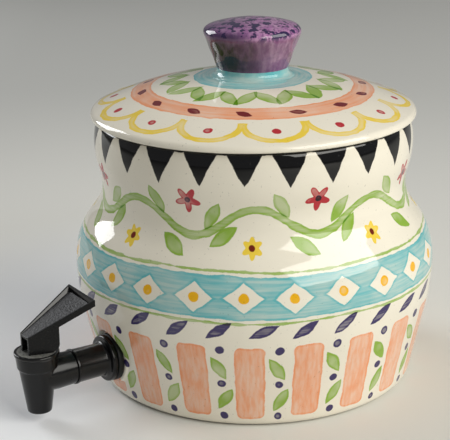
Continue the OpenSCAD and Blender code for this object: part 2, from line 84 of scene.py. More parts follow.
class Wire:
    def __init__(self, socket):
        self.socket = socket

    def math(self, operation, *others, first=None):
        values = (self,) + others if first is None else (first, self)
        node = newNode("ShaderNodeMath", *values)
        node.operation = operation
        return Wire(node.outputs[0])

    def __rsub__(self, other):
        return self.math("SUBTRACT", first=other)

    __add__ = __radd__ = mathStep("ADD")
    __sub__ = mathStep("SUBTRACT")
    __mul__ = __rmul__ = mathStep("MULTIPLY")
    __truediv__ = mathStep("DIVIDE")
    __abs__ = mathStep("ABSOLUTE")
    low = mathStep("MINIMUM")
    high = mathStep("MAXIMUM")
    sin = mathStep("SINE")
    cos = mathStep("COSINE")
    root = mathStep("SQRT")

    def parts(self):
        return [Wire(socket) for socket in newNode("ShaderNodeSeparateXYZ", self).outputs]

    def stretched(self, x, y, z):
        node = newNode("ShaderNodeVectorMath", self, (x, y, z))
        node.operation = "MULTIPLY"
        return Wire(node.outputs[0])

    def soft(self, start, end):
        node = newNode("ShaderNodeMapRange", self, start, end)
        node.interpolation_type = "SMOOTHSTEP"
        return Wire(node.outputs["Result"])


def spread(x, y):
    return (x * x + y * y).root()


def dot(x, y, size):
    return spread(x, y) - size


def vector(x, y, z):
    return Wire(newNode("ShaderNodeCombineXYZ", x, y, z).outputs[0])


def noise(point, scale, detail=2.0, roughness=0.5):
    node = newNode("ShaderNodeTexNoise", point)
    feedAll([node.inputs[label] for label in ("Scale", "Detail", "Roughness")], (scale, detail, roughness))
    return Wire(node.outputs["Fac"])


def blendColour(factor, under, over, mode="MIX"):
    values = (factor, under, over)
    node = treeOf(values).nodes.new("ShaderNodeMix")
    node.data_type = "RGBA"
    node.blend_type = mode
    feedAll([node.inputs[i] for i in (0, 6, 7)], values)
    return Wire(node.outputs[2])


def toned(colour, tone):
    return blendColour(1.0, colour, vector(tone, tone, tone), "MULTIPLY")


def group(inputs, outputs):
    # makes a node group of the effect below it; a socket is a number, unless :Vector or :Color follows its name
    def make(effect):
        tree = bpy.data.node_groups.new(effect.__name__, "ShaderNodeTree")
        for side, labels in (("INPUT", inputs), ("OUTPUT", outputs)):
            for label in labels.split():
                label, kind = (label + ":Float").split(":")[:2]
                tree.interface.new_socket(name=label, in_out=side, socket_type="NodeSocket" + kind)
        start = tree.nodes.new("NodeGroupInput").outputs
        values = effect(*[Wire(socket) for socket in start if socket.name])
        feedAll(tree.nodes.new("NodeGroupOutput").inputs, values)
        return tree
    return make


def use(effect, *values):
    node = treeOf(values).nodes.new("ShaderNodeGroup")
    node.node_tree = effect
    feedAll(node.inputs, values)
    outputs = [Wire(socket) for socket in node.outputs]
    return outputs if len(outputs) > 1 else outputs[0]


def srgb(red, green, blue):
    def linear(c):
        c = c / 255
        return c / 12.92 if c <= 0.04045 else ((c + 0.055) / 1.055) ** 2.4
    return (linear(red), linear(green), linear(blue), 1.0)


cream = srgb(236, 230, 214)


def pigment(red, green, blue):
    # the tint that turns the cream glaze into this colour
    return tuple(min(1.0, c / b) for c, b in zip(srgb(red, green, blue), cream))


# Shared effects

@group("Point:Vector", "Angle Radius Height")
def turnedPoint(point):
    # angle round the crock's axis, and radius and height in mm
    x, y, z = point.stretched(1000, 1000, 1000).parts()
    return x.math("ARCTAN2", y * -1.0), spread(x, y), z


@group("Angle Height Count Girth Level Shift Jitter", "X Y Lot")
def rowCell(angle, height, count, girth, level, shift, jitter):
    # one cell of a ring of motifs: place in the cell in mm, and a lot drawn for it
    turn = angle * count / fullTurn + shift
    cell = turn.math("FLOOR")
    draw = newNode("ShaderNodeTexWhiteNoise", vector(cell.math("FLOORED_MODULO", count), level, 0.0))
    draw.noise_dimensions = "2D"
    lot = Wire(draw.outputs["Value"])
    other = (lot * 61.7).math("FRACT")
    across = (turn - cell - 0.5) * girth * fullTurn / count + (lot - 0.5) * jitter
    return across, height - level + (other - 0.5) * jitter, lot


@group("X Y Turn Length Width", "Distance")
def leafMark(x, y, turn, length, width):
    along = x * turn.cos() + y * turn.sin()
    across = y * turn.cos() - x * turn.sin()
    reach = along / length
    return [abs(across) - width * (1.0 - reach * reach)]


@group("X Y Size Petals Wave Turn", "Distance")
def blossom(x, y, size, petals, wave, turn):
    around = y.math("ARCTAN2", x)
    return [dot(x, y, size) - (around * petals + turn).cos() * wave]


brushSet = {
    "wander": 130.0, "ragged": 800.0, "pools": 42.0,  # scales of the uneven edge and the wash
    "least": 0.46, "hairs": 0.28, "wash": 0.22, "rim": 0.26, "rimWidth": 2.2,
}


@group("Point:Vector Streak:Vector", "Ragged Hairs Wash")
def brushGrain(point, streak):
    # what every stroke on one piece shares: a ragged edge, bristle streaks and a slow wash
    s = brushSet
    ragged = (noise(point, s["wander"], 1.0) - 0.5) * 2.0 + (noise(point, s["ragged"], 1.0) - 0.5) * 0.45
    hairs = noise(streak, 1.0, 3.0, 0.6).soft(0.3, 0.7)
    return ragged, hairs, noise(point, s["pools"], 2.0).soft(0.3, 0.7)


@group("Under:Color Ink:Color Edge Hairs Wash Load", "Colour:Color")
def brushPaint(under, ink, edge, hairs, wash, load):
    # thin glaze colour laid on with a brush: pooled rim, paler middle
    s = brushSet
    pooled = edge.soft(-s["rimWidth"], -0.1) * s["rim"]
    amount = (s["least"] + hairs * s["hairs"] + wash * s["wash"] + pooled) * load
    inside = edge.soft(0.25, -0.3)
    return [blendColour(inside * amount.low(1.0), under, ink, "MULTIPLY")]


glazeSet = {"slow": 26.0, "peel": 240.0, "speck": 760.0, "smear": 60.0, "ior": 1.52, "bump": 0.6}


@group("Point:Vector", "Tone Roughness Height")
def glazeSkin(point):
    s = glazeSet
    slow = noise(point, s["slow"], 2.0)
    peel = noise(point, s["peel"], 2.0)
    speck = noise(point, s["speck"], 0.0).soft(0.79, 0.83)
    smear = noise(point, s["smear"], 3.0)
    tone = 0.955 + slow * 0.09 - speck * 0.22
    return tone, 0.02 + smear * 0.05 + speck * 0.12, slow + peel * 0.05 - speck * 0.05


mouldSet = {"cloud": 90.0, "grit": 640.0, "rub": 700.0, "bump": 0.55}


@group("Point:Vector Stipple", "Tone Roughness Height")
def mouldedSkin(point, stipple):
    s = mouldSet
    cloud = noise(point, s["cloud"], 3.0)
    grit = noise(point, s["grit"], 2.0, 0.6).soft(0.36, 0.64)
    rub = noise(point.stretched(1.0, 0.25, 1.0), s["rub"], 2.0).soft(0.58, 0.75)
    tone = 0.8 + cloud * 0.4 + (grit - 0.5) * stipple * 2.2
    roughness = 0.05 + cloud * 0.12 + rub * 0.07 + stipple * (0.26 + grit * 0.12)
    return tone, roughness, grit * (stipple + 0.04) + cloud * 0.3


print("node groups:", len(bpy.data.node_groups))


# Finishes

def newFinish(name):
    material = bpy.data.materials.new(name)
    material.use_nodes = True
    nodes = material.node_tree.nodes
    return material, nodes["Principled BSDF"], Wire(nodes.new("ShaderNodeTexCoord").outputs["Object"])


def coat(shader, colour, roughness, relief, strength, depth):
    # depth of the bump is in mm
    bump = shader.id_data.nodes.new("ShaderNodeBump")
    for label, value in (("Strength", strength), ("Distance", depth * mm), ("Height", relief)):
        feed(bump.inputs[label], value)
    for label, value in (("Base Color", colour), ("Roughness", roughness), ("Normal", Wire(bump.outputs[0]))):
        feed(shader.inputs[label], value)


def glazeCoat(shader, colour, roughness, relief, depth):
    feed(shader.inputs["IOR"], glazeSet["ior"])
    coat(shader, colour, roughness, relief, glazeSet["bump"], depth)


inks = {
    "black": pigment(6, 6, 7),
    "green": pigment(138, 174, 62),
    "turquoise": pigment(96, 180, 186),
    "peach": pigment(236, 152, 104),
    "yellow": pigment(238, 205, 70),
    "gold": pigment(240, 178, 22),
    "indigo": pigment(58, 48, 96),
    "red": pigment(182, 42, 52),
    "maroon": pigment(112, 36, 52),
}


class Brush:
    # lays one coat after another on a glaze; rings of motifs run round by angle
    def __init__(self, ground, ragged, wash, angle, along):
        self.colour, self.ragged, self.wash = ground, ragged, wash
        self.angle, self.along = angle, along

    def cell(self, count, girth, level, shift, jitter):
        return use(rowCell, self.angle, self.along, count, girth, level, shift, jitter)

    def lay(self, ink, distance, load=1.0, hairs=None):
        self.colour = use(brushPaint, self.colour, inks[ink], distance + self.ragged,
                          hairs or self.wash, self.wash, load)

    def leaf(self, ink, shape, x, y, lot, turn, load, hairs=None):
        length, width, sway = shape
        turn = turn + (lot - 0.5) * sway
        self.lay(ink, use(leafMark, x, y, turn, length, width), load, hairs)

    def flower(self, row, petals, load, heart):
        x, y, lot = self.cell(*row["ring"])
        self.lay(petals, use(blossom, x, y, *row["shape"], lot * 6.28), load)
        size, load = row["heart"]
        self.lay(heart, dot(x, y, size), load)


# A ring of motifs: how many, round what radius, at what height, moved on by what share of a cell, how unevenly.
# A leaf: length, width and sway. Lengths are in mm
bodyPaint = {
    "waver": {"scale": 16.0, "swing": 5.0},
    "stripes": {"ring": (20, 118, 34.5, 0.5, 2.2), "tall": 27.5, "wide": 9.6, "corner": 4.0},
    "sprigs": {
        "ring": (20, 118, 34.5, 0.0, 1.4), "leaf": (10.0, 4.0, 0.4),
        "leaves": ((-13.0, 1.05, 1.6), (11.0, 2.1, -1.6)),  # rise, turn and push to one side
        "beads": ((-26.0, 2.7), (-1.0, 2.7), (25.0, 2.9)),  # rise and size
    },
    "dashes": {"ring": (28, 126, 73.0, 0.0, 1.6), "leaf": (10.5, 3.4, 0.3), "turn": 0.55},
    "band": {"level": 95.5, "half": 13.5, "lines": (79.4, 111.4), "line": 0.8},
    "lozenges": {"ring": (24, 126, 95.5, 0.0, 1.0), "long": 12.5, "wide": 9.6, "heart": 3.4},
    "vine": {"waves": 8, "girth": 108.0, "level": 139.5, "swing": 9.0, "half": 2.7},
    "leaves": {
        "count": 8, "girth": 107, "jitter": 1.5, "leaf": (10.5, 4.4, 0.5),
        # share of a cell, height and turn
        "places": ((0.06, 151.0, 2.2), (0.5, 131.5, 0.75), (0.88, 124.5, 2.35), (0.58, 144.5, 0.9)),
    },
    # size, petals and their depth; size and load of the heart
    "blooms": {"ring": (8, 107, 154.0, 0.78, 1.6), "shape": (6.6, 5.0, 2.3), "heart": (2.2, 1.2)},
    "stars": {"ring": (8, 109, 124.0, 0.28, 1.6), "shape": (5.6, 6.0, 1.3), "heart": (2.0, 1.4)},
    # above the line the rim is all black: a painted shadow in the gap under the lid
    "teeth": {"ring": (24, 110, 164.0, 0.0, 0.8), "top": 190.0, "line": 184.7},  # all black above the line
}


def makeBodyGlaze():
    material, shader, place = newFinish("paintedBodyGlaze")
    angle, radius, height = use(turnedPoint, place)
    tone, roughness, relief = use(glazeSkin, place)
    row = bodyPaint["waver"]
    level = height + (noise(place, row["scale"], 2.0) - 0.5) * row["swing"]
    ragged, across, wash = use(brushGrain, place, place.stretched(26.0, 26.0, 520.0))
    upright = noise(place.stretched(420.0, 420.0, 22.0), 1.0, 3.0, 0.6).soft(0.3, 0.7)
    brush = Brush(toned(cream, tone), ragged, wash, angle, height)

    row = bodyPaint["stripes"]
    x, y = brush.cell(*row["ring"])[:2]
    reach = (abs(y) - (row["tall"] - row["corner"])).high(0.0)
    side = (abs(x) - (row["wide"] - row["corner"])).high(0.0)
    brush.lay("peach", dot(side, reach, row["corner"]), hairs=upright)
    row = bodyPaint["sprigs"]
    x, y, lot = brush.cell(*row["ring"])
    for rise, turn, push in row["leaves"]:
        brush.leaf("green", row["leaf"], x - push, y - rise, lot, turn, 1.15)
    beads = [dot(x, y - rise, size) for rise, size in row["beads"]]
    brush.lay("indigo", beads[0].low(beads[1]).low(beads[2]), 1.5)

    row = bodyPaint["dashes"]
    x, y, lot = brush.cell(*row["ring"])
    brush.leaf("indigo", row["leaf"], x, y, lot, row["turn"], 1.35, across)

    row, gem = bodyPaint["band"], bodyPaint["lozenges"]
    x, y = brush.cell(*gem["ring"])[:2]
    bare = abs(x) * (gem["wide"] / gem["long"]) + abs(y) - gem["wide"]
    brush.lay("turquoise", (abs(level - row["level"]) - row["half"]).high(bare * -0.8), hairs=across)
    brush.lay("gold", dot(x, y, gem["heart"]), 1.35)
    below, above = [abs(level - rise) for rise in row["lines"]]
    brush.lay("green", below.low(above) - row["line"], 0.85, across)

    row = bodyPaint["vine"]
    phase = angle * row["waves"]
    slope = phase.cos() * (row["swing"] * row["waves"] / row["girth"])
    run = abs(level - row["level"] - phase.sin() * row["swing"]) / (slope * slope + 1.0).root()
    brush.lay("green", run - row["half"], hairs=across)
    row = bodyPaint["leaves"]
    for shift, rise, turn in row["places"]:
        x, y, lot = brush.cell(row["count"], row["girth"], rise, shift, row["jitter"])
        brush.leaf("green", row["leaf"], x, y, lot, turn, 1.1)
    brush.flower(bodyPaint["blooms"], "red", 1.4, "indigo")
    brush.flower(bodyPaint["stars"], "yellow", 1.3, "maroon")

    row = bodyPaint["teeth"]
    x, y = brush.cell(*row["ring"])[:2]
    count, girth, start = row["ring"][:3]
    rise, wide = row["top"] - start, math.pi * girth / count
    tooth = (abs(x) - y * (wide / rise)) * (rise / math.hypot(wide, rise))
    # black teeth, and all black above the line: a painted shadow in the gap under the lid
    brush.lay("black", tooth.high(y - rise).low(row["line"] - height), 2.1, upright)

    glazeCoat(shader, brush.colour, roughness, relief, 0.55)
    return material


lidPaint = {
    "waver": {"scale": 16.0, "swing": 4.0},
    "bands": (("turquoise", 32.5, 8.5), ("peach", 77.0, 7.0)),  # ink, radius and half width
    "leaves": {
        "leaf": (12.5, 5.0, 0.3), "turns": (0.95, 2.2),
        "rings": ((14, 55, 55, 0.0, 1.4), (14, 55, 55, 0.5, 1.4)),
    },
    "drops": {"ring": (14, 77, 77, 0.5, 1.4), "leaf": (6.2, 2.9, 0.3), "turn": 0.35},
    "scallops": {
        "ring": (14, 90, 90, 0.0, 0.6), "size": 16.5, "half": 2.0, "stretch": 0.72, "cut": 2.0, "bead": (7.0, 2.8),
    },
}


def makeLidGlaze():
    material, shader, place = newFinish("paintedLidGlaze")
    angle, radius = use(turnedPoint, place)[:2]
    tone, roughness, relief = use(glazeSkin, place)
    x, y = place.parts()[:2]
    row = lidPaint["waver"]
    level = radius + (noise(place, row["scale"], 2.0) - 0.5) * row["swing"]
    mean = (radius * mm).high(0.01)
    streak = vector(x / mean * 1.6, y / mean * 1.6, radius * 0.5)
    ragged, around, wash = use(brushGrain, place, streak)
    brush = Brush(toned(cream, tone), ragged, wash, angle, radius)

    for ink, middle, half in lidPaint["bands"]:
        brush.lay(ink, abs(level - middle) - half, hairs=around)
    row = lidPaint["leaves"]
    for ring, turn in zip(row["rings"], row["turns"]):
        x, y, lot = brush.cell(*ring)
        brush.leaf("green", row["leaf"], x, y, lot, turn, 1.0)
    row = lidPaint["drops"]
    x, y, lot = brush.cell(*row["ring"])
    brush.leaf("maroon", row["leaf"], x, y, lot, row["turn"], 1.4)
    row = lidPaint["scallops"]
    x, y = brush.cell(*row["ring"])[:2]
    arc = abs((x * x * row["stretch"] + y * y).root() - row["size"]) - row["half"]
    brush.lay("yellow", arc.high(y * -1.0 - row["cut"]), 1.1)
    rise, size = row["bead"]
    brush.lay("red", dot(x, y - rise, size), 1.4)

    glazeCoat(shader, brush.colour, roughness, relief, 0.5)
    return material


def shadeSide(x, y):
    # how far a point lies towards the side that gets less light
    return x * -0.566 + y * -0.824


knobPaint = {
    # the dark blue is the glaze's mottle and also paints shade on the crown; the last colour is painted shade for
    # the side
    "violet": srgb(146, 94, 144), "pale": srgb(198, 156, 189), "darkMottleAndShade": srgb(36, 28, 70), "sideShadeColour": srgb(46, 35, 38),
    # heights over which each zone fades in or out; the belt and the lip zones carry painted shade
    "crown": (239.5, 244.0), "shadeBeltLow": (214.0, 222.0), "shadeBeltHigh": (246.0, 236.0), "lip": (249.5, 245.0),
    "edge": 243.2,
}


def makeKnobGlaze():
    s = knobPaint
    material, shader, place = newFinish("violetKnobGlaze")
    height = use(turnedPoint, place)[2]
    tone, roughness, relief = use(glazeSkin, place)
    streaks = noise(place.stretched(260.0, 260.0, 30.0), 1.0, 3.0, 0.6).soft(0.36, 0.7)
    cloud = noise(place, 62.0, 3.0, 0.6)
    blots = noise(place, 190.0, 2.0, 0.5).soft(0.5, 0.57)
    fine = noise(place, 480.0, 2.0).soft(0.54, 0.63)
    crown = height.soft(*s["crown"])
    base = blendColour(streaks * 0.55 + cloud.soft(0.45, 0.7) * 0.45, s["violet"], s["pale"])
    # painted shade: the knob's side darkened round its middle, on the side that gets less light, broken up by noise
    shade = noise(place.stretched(96.0, 96.0, 40.0), 1.0, 3.0, 0.6).soft(0.36, 0.6)
    shadeBelt = height.soft(*s["shadeBeltLow"]) * height.soft(*s["shadeBeltHigh"])
    x, y = place.parts()[:2]
    side = shadeSide(x, y)
    base = blendColour((shade * 0.4 + 0.6) * shadeBelt * side.soft(-0.02, 0.014), base, s["sideShadeColour"])
    crownShade = side.soft(-0.012, 0.034)  # painted shade on the half of the crown that gets less light
    # painted shade on the lip, on the same side
    lip = height.soft(*s["lip"]) * side.soft(-0.006, 0.014)
    mottleAndShade = crown * (cloud.soft(0.44, 0.6) * 0.24 + crownShade * 0.54).high(lip * 0.8)
    # painted light and shade: the crown lighter, the side darker
    base = toned(base, crown * 0.46 + 0.68)
    paleEdgeAndHighlight = abs(height - s["edge"]).soft(1.2, 0.2) * 0.45  # a pale line along the edge: the glaze breaking paler there, and a painted highlight on the ridge
    base = blendColour(paleEdgeAndHighlight, base, s["pale"])
    # the dark mottle, with the painted shade of the crown and lip in the same colour
    spotsAndShade = (blots.high(fine * 0.6) * (crown * 0.85 + 0.12)).high(mottleAndShade)
    base = blendColour(spotsAndShade, base, s["darkMottleAndShade"])
    glazeCoat(shader, toned(base, tone), roughness, relief, 0.35)
    return material


def makePlainGlaze():
    material, shader, place = newFinish("plainCreamGlaze")
    tone, roughness, relief = use(glazeSkin, place)
    warm = noise(place, 18.0, 2.0).soft(0.35, 0.7)
    tint = blendColour(warm, cream, srgb(232, 224, 208))
    glazeCoat(shader, toned(tint, tone), roughness + 0.04, relief, 0.5)
    return material


def makeBareClay():
    material, shader, place = newFinish("bareClayFoot")
    grit = noise(place, 1400.0, 3.0, 0.65)
    cloud = noise(place, 40.0, 3.0)
    tint = blendColour(cloud.soft(0.3, 0.7), srgb(222, 212, 194), srgb(202, 188, 166))
    tint = blendColour(grit.soft(0.6, 0.78) * 0.6, tint, srgb(150, 132, 108))
    coat(shader, tint, 0.72 + grit * 0.2, grit, 0.5, 0.15)
    return material


def makeSpringSteel():
    material, shader, place = newFinish("springSteelWire")
    drawn = noise(place.stretched(900.0, 900.0, 2600.0), 1.0, 2.0)
    tint = blendColour(drawn.soft(0.3, 0.7), srgb(196, 198, 202), srgb(160, 162, 168))
    feed(shader.inputs["Metallic"], 1.0)
    coat(shader, tint, 0.2 + drawn * 0.18, drawn, 0.3, 0.03)
    return material


mouldings = {
    # name, colour, depth of the mould's texture, added roughness, bump in mm, gloss
    "tap": ("blackTapPlastic", (10, 10, 11), 0.0, 0.0, 0.05, 0.45),
    "satin": ("satinTapPlastic", (8, 8, 9), 0.06, 0.07, 0.06, 0.34),
    "matt": ("mattLeverPlastic", (9, 9, 10), 0.12, 0.12, 0.08, 0.24),
    "stipple": ("blackStippledPlastic", (48, 48, 50), 0.8, 0.06, 0.3, 0.2),
    "wornRim": ("wornRimPlastic", (9, 9, 10), 0.1, 0.45, 0.05, 0.12),
    # the bonnet's top: the black stippled plastic painted lighter, a painted light
    "litTop": ("litTopStippledPlastic", (112, 112, 108), 0.4, 0.1, 0.3, 0.3),
    "rubber": ("blackWasherRubber", (14, 14, 15), 0.2, 0.3, 0.06, 0.4),
    "white": ("whiteStemPlastic", (214, 213, 208), 0.0, 0.16, 0.05, 0.5),
    "silicone": ("paleSeatSilicone", (206, 200, 188), 0.1, 0.32, 0.05, 0.5),
}


def makeMoulded(name, colour, stipple, extra, depth, gloss):
    material, shader, place = newFinish(name)
    tone, roughness, relief = use(mouldedSkin, place, stipple)
    feed(shader.inputs["Specular IOR Level"], gloss)
    coat(shader, toned(srgb(*colour), tone), roughness + extra, relief, mouldSet["bump"], depth)
    return material


finishes = {
    "body": makeBodyGlaze(),
    "lid": makeLidGlaze(),
    "knob": makeKnobGlaze(),
    "plain": makePlainGlaze(),
    "clay": makeBareClay(),
    "steel": makeSpringSteel(),
}
for key, values in mouldings.items():
    finishes[key] = makeMoulded(*values)
print("finishes:", len(finishes))


# Turned meshes

def arcPoints(x, z, r, start, end, steps):
    # points on an arc, angles in degrees from the outward direction
    turns = [math.radians(start + (end - start) * i / steps) for i in range(steps + 1)]
    return [(x + r * math.cos(t), z + r * math.sin(t)) for t in turns]


def softOutline(corners, steps):
    # an outline of (radius, height, rounding) corners with each corner eased
    points = []
    for i, (x, z, ease) in enumerate(corners):
        here = Vector((x, z))
        if not ease:
            points.append((x, z))
            continue
        back = Vector(corners[i - 1][:2]) - here
        ahead = Vector(corners[(i + 1) % len(corners)][:2]) - here
        start = here + back.normalized() * min(ease, back.length * 0.45)
        end = here + ahead.normalized() * min(ease, ahead.length * 0.45)
        for k in range(steps + 1):
            t = k / steps
            spot = start * (1 - t) ** 2 + here * 2 * t * (1 - t) + end * t ** 2
            points.append((spot.x, spot.y))
    return points


def runLengths(outline):
    run = [0.0]
    for (x0, z0), (x1, z1) in zip(outline, outline[1:]):
        run.append(run[-1] + math.hypot(x1 - x0, z1 - z0))
    return run


def smoothed(t, start, end):
    t = min(1.0, max(0.0, (t - start) / (end - start)))
    return t * t * (3 - 2 * t)


def crockAxis(r, h, a):
    return (r * math.sin(a), -r * math.cos(a), h)


def shankAxis(r, u, a):
    return (r * math.cos(a), -u, tapShape["height"] + r * math.sin(a))


def stemAxis(r, h, a):
    return (r * math.sin(a), -tapShape["stem"] - r * math.cos(a), h)


def dress(mesh, *keys):
    mesh.materials.clear()
    for key in keys:
        mesh.materials.append(finishes[key])


def placed(name, data):
    piece = bpy.data.objects.new(name, data)
    scene.collection.objects.link(piece)
    return piece


class Skin:
    # gathers a mesh: vertices in mm, faces with the number of their finish, and the faces' corners on the map
    def __init__(self):
        self.points, self.faces, self.indices, self.corners = [], [], [], []

    def put(self, point):
        self.points.append(point)
        return len(self.points) - 1

    def turn(self, axis, outline, columns, flow):
        # rows of vertices round an axis; a point on the axis becomes one vertex
        rows = []
        turns = [-math.pi + fullTurn * j / columns for j in range(columns)]
        for r, h in outline:
            if r < 1e-6:
                rows.append([self.put(axis(0.0, h, 0.0))] * columns)
            else:
                rows.append([self.put(axis(r - (flow(a, r, h) if flow else 0.0), h, a)) for a in turns])
        return rows

    def face(self, loop, index, corners):
        keep = [c for c in range(len(loop)) if loop[c] not in loop[:c]]
        self.faces.append([loop[c] for c in keep])
        self.corners.append([corners[c] for c in keep])
        self.indices.append(index)

    def quad(self, near, far, j, index, low, high, wide=1.0):
        # the face between two closed rows at their place j
        n = (j + 1) % len(near)
        left, right = wide * j / len(near), wide * (j + 1) / len(near)
        corners = [(left, low), (right, low), (right, high), (left, high)]
        self.face([near[j], near[n], far[n], far[j]], index, corners)

    def finish(self, name, materials, sharp):
        mesh = bpy.data.meshes.new(name)
        mesh.from_pydata([Vector(point) * mm for point in self.points], [], self.faces)
        dress(mesh, *materials)
        mesh.polygons.foreach_set("material_index", self.indices)
        mesh.shade_smooth()
        layer = mesh.uv_layers.new(name="OFBake")
        layer.data.foreach_set("uv", [c for face in self.corners for corner in face for c in corner])
        mesh.update()
        solid = bmesh.new()
        solid.from_mesh(mesh)
        bmesh.ops.recalc_face_normals(solid, faces=solid.faces)
        solid.to_mesh(mesh)
        solid.free()
        if sharp:
            mesh.set_sharp_from_angle(angle=math.radians(sharp))
        return placed(name, mesh)


def turnedPiece(name, axis, outline, columns, materials, choose=None, ring=False, sharp=None, flow=None):
    # choose gives a row's finish, a ring closes its outline, flow draws the surface in
    skin, run = Skin(), runLengths(outline)
    rows = skin.turn(axis, outline, columns, flow)
    total = run[-1] * 1.06
    pairs = list(zip(range(len(outline)), range(1, len(outline))))
    if ring:
        pairs.append((len(outline) - 1, 0))
    for i, k in pairs:
        high = run[k] if k else run[-1] * 1.05
        for j in range(columns):
            skin.quad(rows[i], rows[k], j, choose(i) if choose else 0, run[i] / total, high / total)
    return skin.finish(name, materials, sharp)


def fitted(piece, body, slot, *nodes):
    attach(piece, body)
    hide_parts(*nodes)
    return piece


# Crock: a thrown wall with a flat seat and a hole for the tap

tapShape = {"height": 32.0, "stem": 174.9687, "seat": 117.9687, "inner": 107.9687}

crockShape = {
    "base": 106.16, "heel": 7.0, "lean": math.radians(12.7), "bareRows": 5,
    "belly": 86.0, "flank": (-38.0, 165.0), "shoulder": (77.0, 50.0),
    "waist": (140.53, 141.0, 34.03), "mouth": (55.67, 169.0, 55.33),
    "lip": (105.57, 183.0, 3.5), "lipStart": 15.67, "wall": 7.0, "floor": 8.5, "corner": (95.12, 21.7, 14.0),
    "columns": 240, "wobble": 0.35,
    # rows of the mesh: radii on the base and the floor; start, step and count on the wall
    "baseRows": (0.0, 55.0, 90.0), "outsideRows": (59.02, 3.02, 42), "insideRows": (180.0, -3.05, 41),
    "floorRows": (80.0, 45.0, 0.0),
}

seatWindow = {
    # the wall's grid is cut out round the tap, and rings of vertices fill the place
    "cells": 16, "outerLow": 8.0, "outerStep": 3.0, "innerLow": 11.0, "innerTop": 55.0,
    "rings": (8.3, 8.7, 9.4, 12.0, 15.0, 16.9, 17.5, 18.0, 18.5, 19.1, 19.8), "outside": (0.35, 0.7),
    "flat": (17.2, 19.5), "eased": (8.2, 9.4), "ease": 0.5,
}


def wallRadius(z, inset):
    s = crockShape
    flank = s["flank"][1] - inset
    shoulder = s["shoulder"][1] - inset
    lineTop = s["belly"] - flank * math.sin(s["lean"])
    lineRadius = s["flank"][0] + flank * math.cos(s["lean"])
    neckSine = (s["waist"][1] - s["belly"]) / (s["shoulder"][1] + s["waist"][2])
    mouthSine = (s["mouth"][1] - s["waist"][1]) / (s["waist"][2] + s["mouth"][2])
    cornerX, cornerZ, cornerR = s["corner"] if inset else (s["base"], s["heel"], s["heel"])
    if z < cornerZ - cornerR * math.sin(s["lean"]):
        return cornerX + math.sqrt(max(0.0, cornerR ** 2 - (cornerZ - z) ** 2))
    if z < lineTop:
        return lineRadius - (lineTop - z) * math.tan(s["lean"])
    if z < s["belly"]:
        return s["flank"][0] + math.sqrt(flank ** 2 - (s["belly"] - z) ** 2)
    if z < s["belly"] + shoulder * neckSine:
        return s["shoulder"][0] + math.sqrt(shoulder ** 2 - (z - s["belly"]) ** 2)
    if z < s["mouth"][1] - (s["mouth"][2] - inset) * mouthSine:
        return s["waist"][0] - math.sqrt((s["waist"][2] + inset) ** 2 - (z - s["waist"][1]) ** 2)
    return s["mouth"][0] + math.sqrt((s["mouth"][2] - inset) ** 2 - (z - s["mouth"][1]) ** 2)


def handThrown(a, r, h):
    # slow unevenness of the wall, inwards only, none near the tap, the base and the rim
    away = smoothed(abs(a), 0.26, 0.7) * smoothed(h, 8.0, 30.0) * smoothed(h, 182.0, 165.0)
    swell = 0.5 + 0.25 * math.sin(3 * a + h / 17) + 0.25 * math.sin(2 * a - h / 23 + 1)
    return crockShape["wobble"] * away * swell


